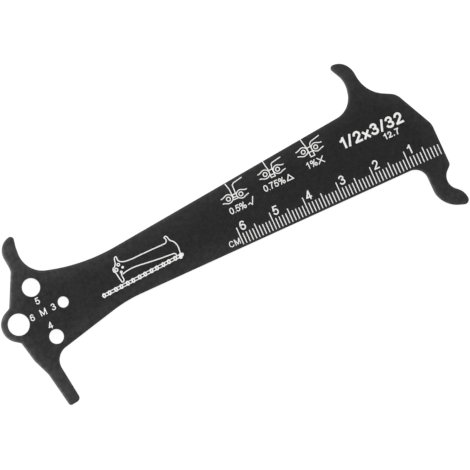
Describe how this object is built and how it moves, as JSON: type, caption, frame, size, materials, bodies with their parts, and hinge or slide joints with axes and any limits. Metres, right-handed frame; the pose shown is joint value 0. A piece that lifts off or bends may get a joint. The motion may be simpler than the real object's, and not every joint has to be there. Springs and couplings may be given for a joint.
{
  "type": "chain wear gauge",
  "caption": "Flat blanked steel gauge for bicycle chains: a hook and a tapered tooth that show wear, two horns that hold an open chain, bolt-size holes and a centimetre scale.",
  "frame": {"origin": "centre of the plate's outline box, on its unprinted back face, which it lies on", "axes": "+X along the straight scale edge, from the bolt-gauge end to the nose; +Y from the scale edge towards the two horns; +Z out of the printed face"},
  "size_m": [0.1298, 0.0544, 0.002],
  "materials": {
    "black_coat": "matt black powder coat on steel, with a fine grain",
    "white_print": "white pad-printed ink"
  },
  "bodies": {
    "root": {"gauge_plate": "black_coat"}
  },
  "joints": []
}
